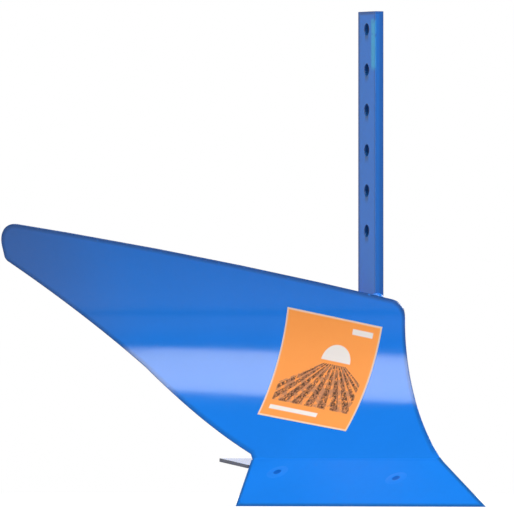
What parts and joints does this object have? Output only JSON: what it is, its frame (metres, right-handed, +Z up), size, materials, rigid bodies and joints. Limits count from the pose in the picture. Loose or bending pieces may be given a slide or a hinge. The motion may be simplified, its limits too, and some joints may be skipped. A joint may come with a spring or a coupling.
{
  "type": "plough",
  "caption": "Right-hand plough body: rolled mouldboard and flat share on a welded frog, with a landside and a drilled flat-bar post for a walking tractor's hitch.",
  "frame": {"origin": "on the landside's sole, at the middle of its thickness, straight below the post's centreline", "axes": "+X is the direction of travel, +Y points to the unploughed land, +Z is up"},
  "size_m": [0.6671, 0.3344, 0.552],
  "materials": {
    "blue_paint": "gloss blue enamel on sheet and bar steel",
    "painted_weld": "gloss blue enamel over weld beads",
    "painted_screw": "gloss blue enamel over flush screw heads",
    "zinc_hardware": "bright zinc plate",
    "label_film": "printed vinyl film"
  },
  "bodies": {
    "root": {"post": "blue_paint", "mouldboard": "blue_paint", "share": "blue_paint", "share_seat": "blue_paint", "frog_plate": "blue_paint", "landside": "blue_paint", "rear_brace": "blue_paint", "wing_stay": "blue_paint", "weld_post_mouldboard": "painted_weld", "weld_post_frog": "painted_weld", "weld_frog_mouldboard": "painted_weld", "weld_seat_frog": "painted_weld", "weld_seat_mouldboard": "painted_weld", "weld_brace_frog": "painted_weld", "weld_brace_mouldboard": "painted_weld", "weld_wing_stay": "painted_weld", "share_screws": "painted_screw", "landside_screws": "painted_screw", "share_washers": "zinc_hardware", "share_nuts": "zinc_hardware", "landside_washers": "zinc_hardware", "landside_nuts": "zinc_hardware", "label": "label_film"}
  },
  "joints": []
}
